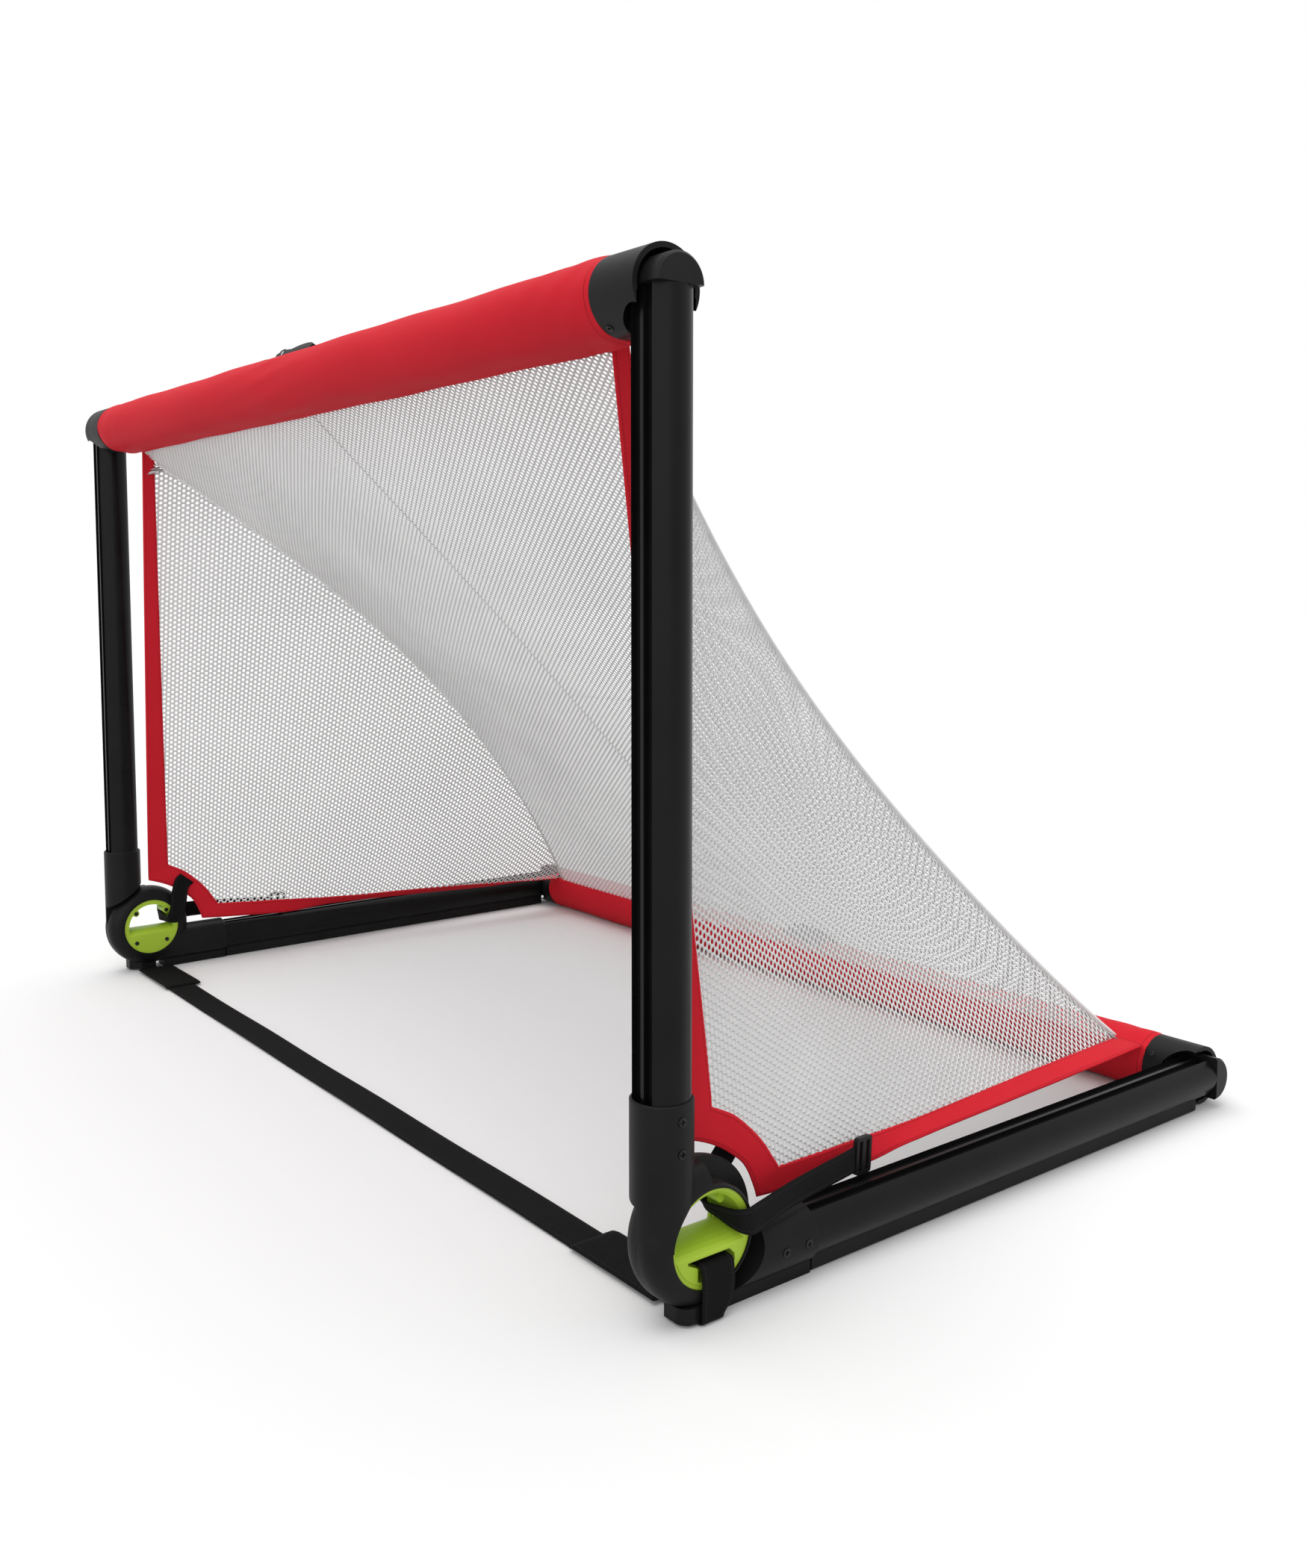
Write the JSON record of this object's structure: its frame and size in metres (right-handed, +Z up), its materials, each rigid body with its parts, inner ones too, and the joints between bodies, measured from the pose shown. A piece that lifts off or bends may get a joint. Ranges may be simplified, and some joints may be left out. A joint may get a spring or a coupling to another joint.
{
  "type": "folding hockey goal",
  "caption": "Folding, telescoping street hockey goal: two hinged side frames, sleeved crossbar and rear bar, and a sloping white net.",
  "frame": {"origin": "centre of the footprint, on the floor", "axes": "+X to the goal's right seen from the mouth, +Y from the mouth to the back, +Z up"},
  "size_m": [1.216, 0.7488, 0.7607],
  "materials": {
    "black_tube": "smooth semi-gloss powder coat on aluminium extrusion",
    "black_moulding": "fine moulded texture, glass-filled nylon",
    "runner_plastic": "smooth worn polyethylene",
    "black_screws": "black oxide screws",
    "lime_plastic": "satin moulded plastic",
    "black_webbing": "woven polyester webbing",
    "bar_aluminium": "drawn tube",
    "red_fabric": "padded polyester sleeve",
    "pin_steel": "ground pin",
    "white_net": "knitted polyester mesh"
  },
  "bodies": {
    "left_base": {"left_base_tube": "black_tube", "left_glide_strip": "runner_plastic", "left_base_arm": "black_moulding", "left_base_arm_screws": "black_screws", "left_hub_bush": "lime_plastic", "left_bush_cap": "lime_plastic", "left_bush_screws": "black_screws", "left_hub_foot": "black_moulding", "left_strap_end": "black_webbing", "left_strap_cuff": "black_webbing", "left_tie_strap": "black_webbing", "left_tie_buckle": "black_moulding", "left_rear_elbow": "black_moulding", "left_rear_end_cap": "black_moulding", "left_rear_elbow_screws": "black_screws", "left_side_net": "white_net", "left_net_border": "red_fabric", "rear_outer_tube": "bar_aluminium", "rear_lock_housing": "black_moulding", "rear_lock_pin": "pin_steel", "rear_sleeve": "red_fabric", "floor_strap": "black_webbing", "back_net": "white_net"},
    "right_base": {"right_base_tube": "black_tube", "right_glide_strip": "runner_plastic", "right_base_arm": "black_moulding", "right_base_arm_screws": "black_screws", "right_hub_bush": "lime_plastic", "right_bush_cap": "lime_plastic", "right_bush_screws": "black_screws", "right_hub_foot": "black_moulding", "right_strap_end": "black_webbing", "right_strap_cuff": "black_webbing", "right_tie_strap": "black_webbing", "right_tie_buckle": "black_moulding", "right_rear_elbow": "black_moulding", "right_rear_end_cap": "black_moulding", "right_rear_elbow_screws": "black_screws", "right_side_net": "white_net", "right_net_border": "red_fabric", "rear_inner_tube": "bar_aluminium"},
    "left_upright": {"left_upright_tube": "black_tube", "left_upright_arm": "black_moulding", "left_upright_arm_screws": "black_screws", "left_top_elbow": "black_moulding", "left_top_end_cap": "black_moulding", "left_top_elbow_screws": "black_screws", "crossbar_outer_tube": "bar_aluminium", "crossbar_lock_housing": "black_moulding", "crossbar_lock_pin": "pin_steel", "crossbar_sleeve": "red_fabric"},
    "right_upright": {"right_upright_tube": "black_tube", "right_upright_arm": "black_moulding", "right_upright_arm_screws": "black_screws", "right_top_elbow": "black_moulding", "right_top_end_cap": "black_moulding", "right_top_elbow_screws": "black_screws", "crossbar_inner_tube": "bar_aluminium"},
    "crossbar_lever": {"crossbar_lock_lever": "black_moulding"},
    "rear_lever": {"rear_lock_lever": "black_moulding"}
  },
  "joints": [
    {"name": "width_slide", "type": "slide", "parent": "left_base", "child": "right_base", "axis": [-1, 0, 0], "range_m": [0, 0.44], "deforming": ["crossbar_sleeve", "rear_sleeve", "floor_strap", "back_net"]},
    {"name": "fold_left", "type": "hinge", "parent": "left_base", "child": "left_upright", "pos_m": [-0.579, -0.315, 0.06], "axis": [-1, 0, 0], "range_deg": [0, 87], "deforming": ["left_side_net", "left_net_border", "left_tie_strap", "left_tie_buckle"]},
    {"name": "fold_right", "type": "hinge", "parent": "right_base", "child": "right_upright", "pos_m": [0.579, -0.315, 0.06], "axis": [-1, 0, 0], "range_deg": [0, 87], "deforming": ["right_side_net", "right_net_border", "right_tie_strap", "right_tie_buckle"]},
    {"name": "crossbar_lever", "type": "hinge", "parent": "left_upright", "child": "crossbar_lever", "pos_m": [-0.041, -0.32951, 0.74914], "axis": [0, -0.8829, 0.4695], "range_deg": [0, 70]},
    {"name": "rear_lever", "type": "hinge", "parent": "left_base", "child": "rear_lever", "pos_m": [0.044, 0.36049, 0.05914], "axis": [0, 0.8829, -0.4695], "range_deg": [0, 70]}
  ],
  "couplings": [
    {"joint": "fold_right", "follows": "fold_left", "ratio": 1}
  ]
}
